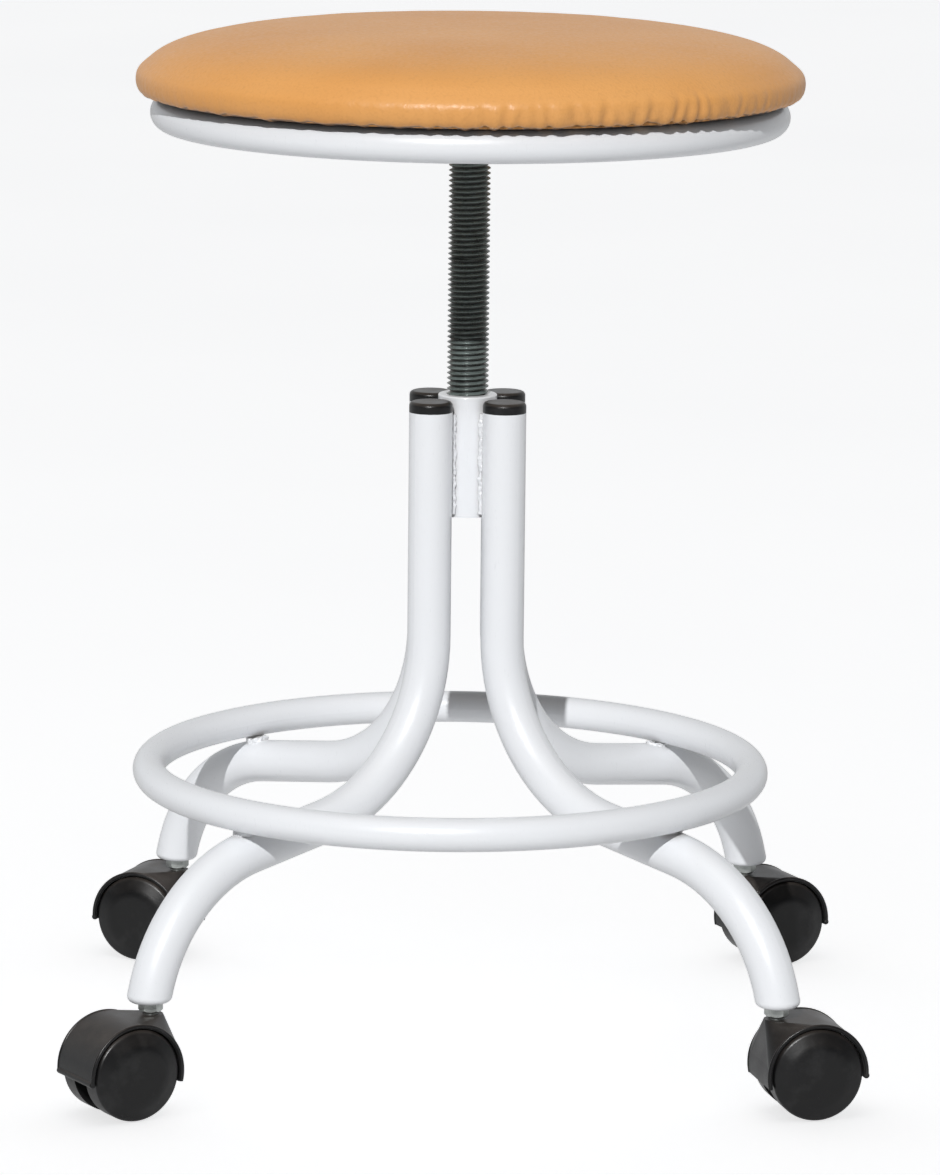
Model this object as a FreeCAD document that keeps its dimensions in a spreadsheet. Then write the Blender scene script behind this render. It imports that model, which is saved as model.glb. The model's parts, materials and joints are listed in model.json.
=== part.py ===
import FreeCAD, Part
import math
import os
import Sketcher

# Dentist stool: a round upholstered seat on a threaded spindle, turned up and
# down in a four-legged tube frame with a foot ring and twin-wheel castors.
#
# Millimetres, +Z up, +X to the sitter's right. The origin is the point on the
# floor under the spindle axis. Every piece is placed where it sits in use.

os.makedirs("parts", exist_ok=True)
doc = FreeCAD.newDocument("dentist_stool")
Vector = FreeCAD.Vector
Rotation = FreeCAD.Rotation

# ---------------------------------------------------------------------------
# Dimensions
# ---------------------------------------------------------------------------

DIMENSIONS = [
    # Frame: four bent tubes standing round a centre sleeve
    ("leg_tube_diameter", 25, "outside diameter of the leg tube"),
    ("leg_tube_wall", 1.5, "wall of the leg tube"),
    ("leg_axis_radius", 29.8, "spindle axis to the axis of an upright leg"),
    ("leg_top", 371.4, "height of the open top of the leg tube"),
    ("upper_bend_height", 240, "height where the upright starts to bend"),
    ("upper_bend_radius", 97, "centreline radius of the upper bend"),
    ("leg_fall", 8.5, "slope of the straight part below horizontal, degrees"),
    ("leg_straight", 58.6, "length of the straight part"),
    ("lower_bend_radius", 93, "centreline radius of the lower bend"),
    ("leg_end_angle", 73.6, "slope of the leg end below horizontal, degrees"),
    ("leg_end_height", 68, "height where the leg tube is cut level"),
    ("foot_bottom", 62, "height of the underside of the closed leg end"),
    ("foot_rounding", 3.6, "rounding of the closed leg end"),
    ("foot_plug", 8, "length of the closed end inside the leg tube"),
    ("cap_head", 6, "height of the plastic cap above the tube"),
    ("cap_rounding", 2.4, "rounding of the cap's top edge"),
    ("cap_plug", 14, "length of the cap inside the tube"),
    ("sleeve_diameter", 34, "outside diameter of the centre sleeve"),
    ("sleeve_wall", 3, "wall of the centre sleeve"),
    ("sleeve_bottom", 309, "height of the lower end of the sleeve"),
    ("sleeve_top", 379, "height of the upper end of the sleeve"),
    ("nut_length", 37, "length of the threaded bush in the sleeve"),
    ("sleeve_bead_radius", 2.1, "radius of the weld beads on the sleeve"),
    ("sleeve_bead_turn", 16.7, "degrees from a leg to the beads beside it"),
    ("sleeve_bead_distance", 18.1, "spindle axis to the middle of a bead"),
    ("sleeve_bead_inset", 2, "sleeve end and leg top to the ends of a bead"),
    ("ring_bead_radius", 6.5, "radius of the weld between foot ring and leg"),
    ("ring_bead_drop", 0.5, "middle of that weld below the foot ring"),
    # Foot ring: its middle sits a little to the left of the spindle axis
    ("ring_tube_diameter", 19, "outside diameter of both ring tubes"),
    ("ring_tube_wall", 1.5, "wall of both ring tubes"),
    ("foot_ring_radius", 175.3, "centreline radius of the foot ring"),
    ("foot_ring_height", 158.4, "height of the foot ring centreline"),
    ("foot_ring_shift", -8, "sideways offset of the foot ring"),
    # Spindle
    ("spindle_diameter", 24, "major diameter of the spindle thread"),
    ("thread_pitch", 3, "rise of the seat in one turn"),
    ("thread_depth", 1.84, "depth of the thread groove"),
    ("thread_clearance", 0.22, "gap between spindle and nut flanks"),
    ("spindle_bottom", 322, "height of the lower end of the spindle"),
    ("thread_top", 531, "height where the thread runs out"),
    ("stop_diameter", 27.4, "outside diameter of the stop washer"),
    ("stop_thickness", 3, "thickness of the stop washer"),
    ("stop_bolt_diameter", 8, "shank of the bolt holding the stop washer"),
    ("stop_bolt_flats", 13, "width across the flats of that bolt's head"),
    ("stop_bolt_head", 5.3, "height of that bolt's head"),
    ("stop_bolt_depth", 25, "depth of the bolt hole in the spindle"),
    ("nut_bore_gap", 0.4, "gap between thread root and the bore of the bush"),
    ("stop_bolt_length", 18, "length of that bolt inside the spindle"),
    ("stop_gap", 0.2, "gap above and below the stop washer"),
    # Seat
    ("rim_radius", 173.2, "centreline radius of the ring under the seat"),
    ("rim_height", 540.8, "height of the centreline of that ring"),
    ("bar_width", 30, "width of the flat bars across the ring"),
    ("bar_thickness", 5, "thickness of the flat bars"),
    ("plate_radius", 36, "radius of the plate on top of the spindle"),
    ("plate_thickness", 6, "thickness of the plate on top of the spindle"),
    ("spindle_pin_radius", 9, "radius of the spindle end inside the plate"),
    ("board_radius", 184, "radius of the plywood seat board"),
    ("board_thickness", 10, "thickness of the plywood seat board"),
    ("seat_radius", 190.9, "outside radius of the upholstered seat"),
    ("seat_top", 592, "height of the flat middle of the upholstered seat"),
    ("crown_radius", 125, "radius where the top of the seat starts to fall"),
    ("shoulder_radius", 172, "radius where the top of the seat falls more steeply"),
    ("shoulder_height", 580.5, "height of the seat there"),
    ("side_height", 568, "height of the upper edge of the seat's side"),
    ("cover_thickness", 1.1, "thickness of the leatherette cover"),
    ("cover_fold", 156, "inner radius of the cover folded under the board"),
    ("seat_gap", 0.1, "gap above and below the folded cover"),
    ("foam_gap", 0.2, "gap between the foam and its neighbours"),
    ("screw_radius", 2.5, "shank radius of the wood screws"),
    ("screw_head_radius", 4.5, "radius of the screw heads"),
    ("screw_head_height", 3, "height of the screw heads"),
    ("screw_circle", 120, "spindle axis to the wood screws"),
    ("screw_head_rounding", 2, "rounding of the screw heads"),
    ("screw_margin", 3, "wood left above the screw points"),
    ("screw_hole_gap", 0.2, "radial clearance of the holes in the bars"),
    ("bar_inset", 5, "rim centreline to the ends of the bars"),
    ("staple_width", 10, "width of a staple over its legs"),
    ("staple_breadth", 1.2, "breadth of the flat staple wire"),
    ("staple_inset", 3, "edge of the folded cover to the staples"),
    ("staple_wire", 0.6, "thickness of the staple wire"),
    ("staple_depth", 5, "length of the staple legs"),
    # Castors
    ("castor_reach", 174.3, "sideways and fore-and-aft offset of a castor stem"),
    ("castor_trail", 19, "stem axis to axle"),
    ("heading_front_left", 212, "trail direction from +X towards +Y, degrees"),
    ("heading_front_right", 14, "trail direction from +X towards +Y, degrees"),
    ("heading_rear_left", 158, "trail direction from +X towards +Y, degrees"),
    ("heading_rear_right", 25, "trail direction from +X towards +Y, degrees"),
    ("wheel_radius", 26, "radius of the castor wheels"),
    ("wheel_inner", 7, "castor middle plane to the inner wheel face"),
    ("wheel_outer", 23.8, "castor middle plane to the outer wheel face"),
    ("wheel_dome", 4.2, "height of the domed outer wheel face"),
    ("wheel_flat", 16, "radius of the flat middle of the outer wheel face"),
    ("wheel_dome_blend", 16, "radius between the flat and the slope of the dome"),
    ("wheel_edge", 2.8, "radius of the outer edge of the wheel"),
    ("wheel_tyre", 4, "thickness of the wheel at its rim"),
    ("wheel_hub", 9, "radius of the hub on the inner wheel face"),
    ("wheel_recess", 7, "depth of the recess in the inner wheel face"),
    ("axle_depth", 13.8, "depth of the axle bore in a wheel"),
    ("hood_radius", 29, "outside radius of the hood over the wheels"),
    ("hood_clearance", 26.9, "inside radius of the hood"),
    ("hood_half_width", 20.5, "castor middle plane to the side of the hood"),
    ("hood_bead", 1.1, "radius of the rounded edge round the wheel openings"),
    ("pad_radius", 7, "radius of the pad round the stem, on top of the hood"),
    ("tail_lip", 1.8, "radius of the rolled rear lip of the hood"),
    ("web_radius", 12, "radius of the web round the axle"),
    ("socket_floor", 3, "plastic under the castor stem"),
    ("web_half_width", 6.2, "half thickness of the web between the wheels"),
    ("tail_height", 24.5, "height of the middle of the rear lip of the hood"),
    ("nose_height", 19.5, "height of the lower front edge of the hood"),
    ("axle_radius", 3, "radius of the castor axle"),
    ("axle_end_play", 1.3, "room between an axle end and its blind bore"),
    ("bore_clearance", 0.05, "radial running clearance in the castor bores"),
    ("stem_radius", 4, "radius of the castor stem"),
    ("stem_rounding", 0.8, "rounding of both stem ends"),
    ("clip_height", 5.6, "middle of the spring clip above the stem end"),
    ("clip_groove_depth", 0.9, "depth of the groove for the clip"),
    ("clip_groove_half", 0.6, "half width of that groove"),
    ("clip_wire", 0.4, "radius of the clip wire"),
    ("stem_bottom", 27, "height of the lower end of the castor stem"),
    ("stem_top", 82, "height of the upper end of the castor stem"),
    ("collar_width", 12, "width across the flats of the stem collar"),
    ("collar_bottom", 56, "height of the underside of the stem collar"),
]

dims = doc.addObject("Spreadsheet::Sheet", "dims")
for row, (alias, number, meaning) in enumerate(DIMENSIONS, start=1):
    dims.set("A%d" % row, alias)
    dims.set("B%d" % row, str(number))
    dims.setAlias("B%d" % row, alias)
    dims.set("C%d" % row, meaning)
doc.recompute()

CORNERS = {
    "front_left": (-1, -1),
    "front_right": (1, -1),
    "rear_left": (-1, 1),
    "rear_right": (1, 1),
}
EAST = Vector(1, 0, 0)
UP = Vector(0, 0, 1)
SNAP = 0.01  # how near a corner an edge must pass to be rounded

pieces = []

# ---------------------------------------------------------------------------
# Helpers
# ---------------------------------------------------------------------------


def size(formula):
    """Present value of a formula written with the names in the table."""
    return float(dims.evalExpression(formula))


def bind(obj, formulas):
    for prop, formula in formulas.items():
        obj.setExpression(prop, formula)
    return obj


def place(obj, x="0", y="0", z="0", turn="0"):
    """Moves an object to a bound position, turned about the vertical."""
    bind(obj, {"Placement.Base.x": x, "Placement.Base.y": y, "Placement.Base.z": z})
    bind(obj, {"Placement.Rotation.Angle": turn})
    return obj


def piece(obj, node):
    """Marks an object as one finished piece with its own file."""
    obj.Label = node
    pieces.append(obj)
    return obj


def solid(kind, name, formulas, at=("0", "0", "0"), turn=Rotation()):
    """A Part primitive with bound sizes at a bound position."""
    obj = doc.addObject(kind, name)
    obj.Placement.Rotation = turn
    bind(obj, formulas)
    for axis, formula in zip("xyz", at):
        bind(obj, {"Placement.Base." + axis: formula})
    return obj


def cylinder(name, radius, height, at=("0", "0", "0"), turn=Rotation()):
    formulas = {"Radius": radius, "Height": height}
    return solid("Part::Cylinder", name, formulas, at, turn)


def cross_cylinder(name, radius, half_length, x, z):
    """A cylinder lying along Y, centred on the XZ plane."""
    at = (x, half_length, z)
    return cylinder(name, radius, "2 * (%s)" % half_length, at, Rotation(EAST, 90))


def box(name, length, width, height, at):
    formulas = {"Length": length, "Width": width, "Height": height}
    return solid("Part::Box", name, formulas, at)


def torus(name, ring_radius, tube_radius, at):
    formulas = {"Radius1": ring_radius, "Radius2": tube_radius}
    return solid("Part::Torus", name, formulas, at)


def cut(name, base, tool):
    obj = doc.addObject("Part::Cut", name)
    obj.Base = base
    obj.Tool = tool
    return obj


def fuse(name, shapes):
    obj = doc.addObject("Part::MultiFuse", name)
    obj.Shapes = shapes
    return obj


def common(name, shapes):
    obj = doc.addObject("Part::MultiCommon", name)
    obj.Shapes = shapes
    return obj


def group(name, shapes):
    """Identical small pieces kept together."""
    obj = doc.addObject("Part::Compound", name)
    obj.Links = shapes
    return obj


def new_sketch(body, name, role, height="0"):
    plane = next(f for f in body.Origin.OriginFeatures if f.Role == role)
    sketch = body.newObject("Sketcher::SketchObject", name)
    sketch.AttachmentSupport = (plane, [""])
    sketch.MapMode = "FlatFace"
    bind(sketch, {"AttachmentOffset.Base.z": height})
    return sketch


def measure(sketch, name, formula, kind, *where):
    """A named sketch dimension bound to a formula; angles are in degrees."""
    value = math.radians(size(formula)) if kind == "Angle" else size(formula)
    constraint = Sketcher.Constraint(kind, *where, value)
    sketch.renameConstraint(sketch.addConstraint(constraint), name)
    bind(sketch, {"Constraints." + name: formula})


def pin_point(sketch, name, geometry, end, x, y):
    """Ties one sketch point to bound coordinates."""
    measure(sketch, name + "_x", x, "DistanceX", -1, 1, geometry, end)
    measure(sketch, name + "_y", y, "DistanceY", -1, 1, geometry, end)


def polygon(sketch, corners):
    """A closed outline; every corner is a pair of bound coordinates."""
    points = [Vector(size(x), size(y), 0) for x, y in corners]
    for here, there in zip(points, points[1:] + points[:1]):
        sketch.addGeometry(Part.LineSegment(here, there), False)
    for line, (x, y) in enumerate(corners):
        following = (line + 1) % len(corners)
        sketch.addConstraint(Sketcher.Constraint("Coincident", line, 2, following, 1))
        pin_point(sketch, "corner%d" % (line + 1), line, 1, x, y)


def circle(sketch, name, x, radius):
    """A circle centred on the sketch's own X axis."""
    shape = Part.Circle(Vector(size(x), 0, 0), UP, size(radius))
    index = sketch.addGeometry(shape, False)
    pin_point(sketch, name, index, 3, x, "0")
    measure(sketch, name + "_radius", radius, "Radius", index)


def revolved(name, corners, role="XZ_Plane"):
    """A body turned about the second axis of a sketch plane.

    The corners are pairs of radius and distance along the axis.
    """
    body = doc.addObject("PartDesign::Body", name)
    sketch = new_sketch(body, name + "_outline", role)
    polygon(sketch, corners)
    turned = body.newObject("PartDesign::Revolution", name + "_turned")
    turned.Profile = sketch
    turned.ReferenceAxis = (sketch, ["V_Axis"])
    turned.Angle = 360
    body.Tip = turned
    doc.recompute()
    return body


def round_edges(body, radius, corners):
    """Rounds the circular edges that pass through the given outline corners."""
    base = body.Tip
    wanted = [(size(r), size(along)) for r, along in corners]
    names = []
    for index, edge in enumerate(base.Shape.Edges, start=1):
        if isinstance(edge.Curve, Part.Circle):
            centre = edge.Curve.Center
            found = (edge.Curve.Radius, centre.x + centre.y + centre.z)
            if any(math.dist(found, place) < SNAP for place in wanted):
                names.append("Edge%d" % index)
    fillet = body.newObject("PartDesign::Fillet", base.Name + "_rounded")
    fillet.Base = (base, names)
    bind(fillet, {"Radius": radius})
    body.Tip = fillet
    doc.recompute()


def thread_groove(body, name, section, start, length):
    """Cuts a right-hand helical groove; its section starts at a given height."""
    sketch = new_sketch(body, name + "_section", "XZ_Plane")
    polygon(sketch, [(x, "%s + %s" % (start, along)) for x, along in section])
    groove = body.newObject("PartDesign::SubtractiveHelix", name)
    groove.Profile = sketch
    groove.ReferenceAxis = (sketch, ["V_Axis"])
    bind(groove, {"Pitch": "dims.thread_pitch", "Height": length})
    body.Tip = groove
    doc.recompute()


# ---------------------------------------------------------------------------
# Legs
# ---------------------------------------------------------------------------

LEG_RADIUS = "dims.leg_tube_diameter / 2"
LEG_BORE = "(dims.leg_tube_diameter / 2 - dims.leg_tube_wall)"
LEG_TAIL = 30  # straight length below the lower bend, before the level cut


def leg_spine(body, name):
    """Centreline: upright, bend out, slope, bend down, leaning end."""
    start = Vector(size("dims.leg_axis_radius"), size("dims.leg_top"), 0)
    bend = Vector(start.x, size("dims.upper_bend_height"), 0)
    r1, r2 = size("dims.upper_bend_radius"), size("dims.lower_bend_radius")
    fall = math.radians(size("dims.leg_fall"))
    end_fall = math.radians(size("dims.leg_end_angle"))

    def along(angle):
        return Vector(math.cos(angle), -math.sin(angle), 0)

    def across(angle):
        return Vector(math.sin(angle), math.cos(angle), 0)

    centre1 = bend + Vector(r1, 0, 0)
    slope_start = centre1 - across(fall) * r1
    slope_end = slope_start + along(fall) * size("dims.leg_straight")
    centre2 = slope_end - across(fall) * r2
    bend_end = centre2 + across(end_fall) * r2
    tail_end = bend_end + along(end_fall) * LEG_TAIL

    sketch = new_sketch(body, name, "XZ_Plane")
    middle1 = centre1 - across((math.pi / 2 + fall) / 2) * r1
    middle2 = centre2 + across((fall + end_fall) / 2) * r2
    for curve in (
        Part.LineSegment(start, bend),
        Part.Arc(bend, middle1, slope_start),
        Part.LineSegment(slope_start, slope_end),
        Part.Arc(slope_end, middle2, bend_end),
        Part.LineSegment(bend_end, tail_end),
    ):
        sketch.addGeometry(curve, False)
    upright, arc1, slope, arc2, tail = range(5)
    # The first arc is drawn anticlockwise, the second one the other way round
    for first, end, second, begin in (
        (upright, 2, arc1, 1),
        (arc1, 2, slope, 1),
        (slope, 2, arc2, 2),
        (arc2, 1, tail, 1),
    ):
        sketch.addConstraint(Sketcher.Constraint("Tangent", first, end, second, begin))
    pin_point(sketch, "top", upright, 1, "dims.leg_axis_radius", "dims.leg_top")
    pin_point(
        sketch, "bend", upright, 2, "dims.leg_axis_radius", "dims.upper_bend_height"
    )
    measure(sketch, "upper_radius", "dims.upper_bend_radius", "Radius", arc1)
    measure(sketch, "lower_radius", "dims.lower_bend_radius", "Radius", arc2)
    measure(sketch, "fall", "-dims.leg_fall", "Angle", slope)
    measure(sketch, "end_fall", "-dims.leg_end_angle", "Angle", tail)
    measure(sketch, "straight", "dims.leg_straight", "Distance", slope)
    measure(sketch, "tail_length", str(LEG_TAIL), "Distance", tail)
    return sketch


def bent_rod(name, radius, low, high):
    """The stretch of a bent rod between two heights, in the plane of its leg."""
    body = doc.addObject("PartDesign::Body", name)
    spine = leg_spine(body, name + "_spine")
    section = new_sketch(body, name + "_section", "XY_Plane", "dims.leg_top")
    circle(section, "tube", "dims.leg_axis_radius", radius)
    pipe = body.newObject("PartDesign::AdditivePipe", name + "_pipe")
    pipe.Profile = section
    pipe.Spine = (spine, [])
    body.Tip = pipe
    reach = "(2 * dims.castor_reach)"
    slab_height = "(%s) - (%s)" % (high, low)
    slab = box(name + "_slab", reach, reach, slab_height, ("0", "-dims.castor_reach", low))
    return common(name + "_stretch", [body, slab])


def leg_heading(side_x, side_y):
    """Direction of a leg seen from above, in degrees from +X."""
    return "%g" % math.degrees(math.atan2(side_y, side_x))


def make_leg(where, side_x, side_y):
    """Tube, black cap in its open top, and closed foot with a tapped hole."""
    turn = leg_heading(side_x, side_y)
    foot_top = "dims.leg_end_height"
    outer = bent_rod(where + "_rod", LEG_RADIUS, foot_top, "dims.leg_top")
    inner = bent_rod(where + "_bore", LEG_BORE, foot_top, "dims.leg_top")
    place(piece(cut(where + "_tube", outer, inner), "leg_" + where), turn=turn)

    head = "dims.leg_top + dims.cap_head"
    cap = revolved(
        where + "_cap",
        [
            ("0", "dims.leg_top - dims.cap_plug"),
            (LEG_BORE, "dims.leg_top - dims.cap_plug"),
            (LEG_BORE, "dims.leg_top"),
            (LEG_RADIUS, "dims.leg_top"),
            (LEG_RADIUS, head),
            ("0", head),
        ],
    )
    round_edges(cap, "dims.cap_rounding", [(LEG_RADIUS, head)])
    x = "dims.leg_axis_radius * cos(%s)" % turn
    y = "dims.leg_axis_radius * sin(%s)" % turn
    place(piece(cap, "leg_cap_" + where), x, y)

    sole = bent_rod(where + "_sole", LEG_RADIUS, "dims.foot_bottom", foot_top)
    rounded = doc.addObject("Part::Fillet", where + "_sole_rounded")
    rounded.Base = sole
    doc.recompute()
    lowest = min(
        range(len(sole.Shape.Edges)),
        key=lambda i: sole.Shape.Edges[i].BoundBox.ZMax,
    )
    rounding = size("dims.foot_rounding")
    rounded.Edges = [(lowest + 1, rounding, rounding)]
    plug_top = "dims.leg_end_height + dims.foot_plug"
    plug = bent_rod(where + "_plug", LEG_BORE, foot_top, plug_top)
    hole_at = ("dims.castor_reach * sqrt(2)", "0", "0")
    hole_radius = "dims.stem_radius + dims.bore_clearance"
    hole = cylinder(where + "_hole", hole_radius, "dims.leg_top", hole_at)
    closed = fuse(where + "_foot_blank", [rounded, plug])
    place(piece(cut(where + "_foot", closed, hole), "leg_foot_" + where), turn=turn)


for where, (side_x, side_y) in CORNERS.items():
    make_leg(where, side_x, side_y)

# ---------------------------------------------------------------------------
# Foot ring, centre sleeve and their welds
# ---------------------------------------------------------------------------

RING_TUBE = "dims.ring_tube_diameter / 2"
RING_BORE = "dims.ring_tube_diameter / 2 - dims.ring_tube_wall"
RING_AT = ("dims.foot_ring_shift", "0", "dims.foot_ring_height")
SLEEVE_RADIUS = "dims.sleeve_diameter / 2"
SLEEVE_BORE = "(dims.sleeve_diameter / 2 - dims.sleeve_wall)"

ring_rod = torus("ring_rod", "dims.foot_ring_radius", RING_TUBE, RING_AT)
ring_bore = torus("ring_bore", "dims.foot_ring_radius", RING_BORE, RING_AT)
piece(cut("ring_tube", ring_rod, ring_bore), "foot_ring")

sleeve = revolved(
    "sleeve",
    [
        (SLEEVE_BORE, "dims.sleeve_bottom"),
        (SLEEVE_RADIUS, "dims.sleeve_bottom"),
        (SLEEVE_RADIUS, "dims.sleeve_top"),
        (SLEEVE_BORE, "dims.sleeve_top"),
    ],
)
round_edges(sleeve, "1", [(SLEEVE_RADIUS, "dims.sleeve_top")])
piece(sleeve, "centre_sleeve")


def weld_tools(name):
    """Solid rods in the places of the four legs, for shaping welds."""
    rods = []
    for where, (side_x, side_y) in CORNERS.items():
        low, high = "dims.leg_end_height", "dims.leg_top"
        rod = bent_rod(name + "_" + where, LEG_RADIUS, low, high)
        rods.append(place(rod, turn=leg_heading(side_x, side_y)))
    return rods


def sleeve_bead(name, heading, side):
    """One upright bead in the groove between the sleeve and a leg."""
    angle = "(%s + %d * dims.sleeve_bead_turn)" % (heading, side)
    x = "dims.sleeve_bead_distance * cos(%s)" % angle
    y = "dims.sleeve_bead_distance * sin(%s)" % angle
    low = "dims.sleeve_bottom + dims.sleeve_bead_inset"
    height = "dims.leg_top - dims.sleeve_bottom - 2 * dims.sleeve_bead_inset"
    return cylinder(name, "dims.sleeve_bead_radius", height, (x, y, low))


def ring_bead(name, side_x, side_y):
    """One blob of weld where the foot ring rests on a leg."""
    heading = leg_heading(side_x, side_y)
    radius = "(dims.foot_ring_radius + dims.foot_ring_shift * cos(%s))" % heading
    x = "%s * cos(%s)" % (radius, heading)
    y = "%s * sin(%s)" % (radius, heading)
    z = "dims.foot_ring_height - dims.ring_tube_diameter / 2 - dims.ring_bead_drop"
    return solid("Part::Sphere", name, {"Radius": "dims.ring_bead_radius"}, (x, y, z))


rods = weld_tools("weld_tool")
sleeve_solid = cylinder(
    "sleeve_solid", SLEEVE_RADIUS, "dims.sleeve_top", ("0", "0", "0")
)
sleeve_beads = [
    sleeve_bead("sleeve_bead_%s_%d" % (where, side), leg_heading(*sides), side)
    for where, sides in CORNERS.items()
    for side in (-1, 1)
]
ring_beads = [ring_bead("ring_bead_" + where, *CORNERS[where]) for where in CORNERS]
for node, beads, tools in (
    ("sleeve_welds", sleeve_beads, rods + [sleeve_solid]),
    ("ring_welds", ring_beads, rods + [ring_rod]),
):
    tool = fuse(node + "_tool", tools)
    piece(cut(node + "_cut", group(node + "_blank", beads), tool), node)

# ---------------------------------------------------------------------------
# Spindle, threaded bush and stop
# ---------------------------------------------------------------------------

SPINDLE = "dims.spindle_diameter / 2"
FLANK = "tan(30)"  # a metric thread has flanks at 30 degrees to the axis plane
PAST = 0.3  # how far a thread cutter stands out past the face it cuts
THREAD_START = "(dims.spindle_bottom - dims.thread_pitch)"
PLATE_TOP = "(dims.rim_height + dims.ring_tube_diameter / 2 - dims.bar_thickness)"
PLATE_BOTTOM = "(%s - dims.plate_thickness)" % PLATE_TOP


def groove_section(edge, depth, mid_radius, mid_half):
    """Trapezoid that narrows inwards from an edge radius at the flank angle."""
    outer_half = "(%s + (%s - %s) * %s)" % (mid_half, edge, mid_radius, FLANK)
    inner_half = "(%s + (%s - %s) * %s)" % (mid_half, depth, mid_radius, FLANK)
    return [
        (depth, "-" + inner_half),
        (edge, "-" + outer_half),
        (edge, outer_half),
        (depth, inner_half),
    ]


STOP_HOLE = "dims.stop_bolt_diameter / 2 + dims.bore_clearance"
spindle = revolved(
    "spindle",
    [
        (STOP_HOLE, "dims.spindle_bottom"),
        (SPINDLE, "dims.spindle_bottom"),
        (SPINDLE, PLATE_BOTTOM),
        ("dims.spindle_pin_radius", PLATE_BOTTOM),
        ("dims.spindle_pin_radius", PLATE_TOP),
        ("0", PLATE_TOP),
        ("0", "dims.spindle_bottom + dims.stop_bolt_depth"),
        (STOP_HOLE, "dims.spindle_bottom + dims.stop_bolt_depth"),
    ],
)
root = SPINDLE + " - dims.thread_depth"
spindle_groove = groove_section(
    SPINDLE + " + %g" % PAST, root, SPINDLE, "dims.thread_pitch * 7 / 16"
)
groove_length = "dims.thread_top - dims.spindle_bottom + dims.thread_pitch"
thread_groove(spindle, "spindle_thread", spindle_groove, THREAD_START, groove_length)
piece(spindle, "spindle")

nut_bottom = "(dims.sleeve_top - dims.nut_length)"
nut_bore = SPINDLE + " - dims.thread_depth + dims.nut_bore_gap"
bush = revolved(
    "bush",
    [
        (nut_bore, nut_bottom),
        (SLEEVE_BORE, nut_bottom),
        (SLEEVE_BORE, "dims.sleeve_top"),
        (nut_bore, "dims.sleeve_top"),
    ],
)
# The groove in the bush takes the spindle's ridge, so it narrows outwards
ridge_half = "(dims.thread_pitch / 16 + dims.thread_clearance / cos(30))"
bush_edge = SPINDLE + " + dims.thread_clearance"
bush_depth = nut_bore + " - %g" % PAST
bush_groove = [
    (bush_depth, "-(%s + (%s - (%s)) * %s)" % (ridge_half, SPINDLE, bush_depth, FLANK)),
    (bush_edge, "-(%s + (%s - (%s)) * %s)" % (ridge_half, SPINDLE, bush_edge, FLANK)),
    (bush_edge, "(%s + (%s - (%s)) * %s)" % (ridge_half, SPINDLE, bush_edge, FLANK)),
    (bush_depth, "(%s + (%s - (%s)) * %s)" % (ridge_half, SPINDLE, bush_depth, FLANK)),
]
# Half a pitch out of step with the spindle's groove, starting below the bush
bush_start = "(dims.spindle_bottom + 5.5 * dims.thread_pitch)"
bush_length = "dims.nut_length + 2 * dims.thread_pitch"
thread_groove(bush, "bush_thread", bush_groove, bush_start, bush_length)
piece(bush, "threaded_bush")

washer_top = "(dims.spindle_bottom - dims.stop_gap)"
washer_bottom = "(%s - dims.stop_thickness)" % washer_top
piece(
    revolved(
        "stop_washer",
        [
            (STOP_HOLE, washer_bottom),
            ("dims.stop_diameter / 2", washer_bottom),
            ("dims.stop_diameter / 2", washer_top),
            (STOP_HOLE, washer_top),
        ],
    ),
    "stop_washer",
)


def hexagon(name, across_flats, height, at):
    formulas = {"Circumradius": "%s / 2 / cos(30)" % across_flats, "Height": height}
    prism = solid("Part::Prism", name, formulas, at)
    prism.Polygon = 6
    return prism


head_bottom = "(%s - dims.stop_gap - dims.stop_bolt_head)" % washer_bottom
stop_head = hexagon(
    "stop_head", "dims.stop_bolt_flats", "dims.stop_bolt_head", ("0", "0", head_bottom)
)
shank_length = "dims.spindle_bottom + dims.stop_bolt_length - %s" % head_bottom
stop_shank = cylinder(
    "stop_shank", "dims.stop_bolt_diameter / 2", shank_length, ("0", "0", head_bottom)
)
piece(fuse("stop_bolt", [stop_head, stop_shank]), "stop_bolt")

# ---------------------------------------------------------------------------
# Seat
# ---------------------------------------------------------------------------

RIM_AT = ("0", "0", "dims.rim_height")
rim_rod = torus("rim_rod", "dims.rim_radius", RING_TUBE, RIM_AT)
rim_bore = torus("rim_bore", "dims.rim_radius", RING_BORE, RIM_AT)
piece(cut("rim_tube", rim_rod, rim_bore), "seat_rim")

piece(
    revolved(
        "spindle_plate",
        [
            ("dims.spindle_pin_radius", PLATE_BOTTOM),
            ("dims.plate_radius", PLATE_BOTTOM),
            ("dims.plate_radius", PLATE_TOP),
            ("dims.spindle_pin_radius", PLATE_TOP),
        ],
    ),
    "spindle_plate",
)

BAR_REACH = "(dims.rim_radius - dims.bar_inset)"
HALF_BAR = "dims.bar_width / 2"


def seat_bar(name, length, width, x, y, screws):
    """A flat bar coped over the rim tube, drilled for its wood screws."""
    blank = box(name + "_blank", length, width, "dims.bar_thickness", (x, y, PLATE_TOP))
    hole_radius = "dims.screw_radius + dims.screw_hole_gap"
    holes = [
        cylinder("%s_hole%d" % (name, i), hole_radius, "dims.seat_top", (sx, sy, "0"))
        for i, (sx, sy) in enumerate(screws)
    ]
    piece(cut(name, blank, fuse(name + "_tools", holes + [rim_rod])), name)


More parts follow.
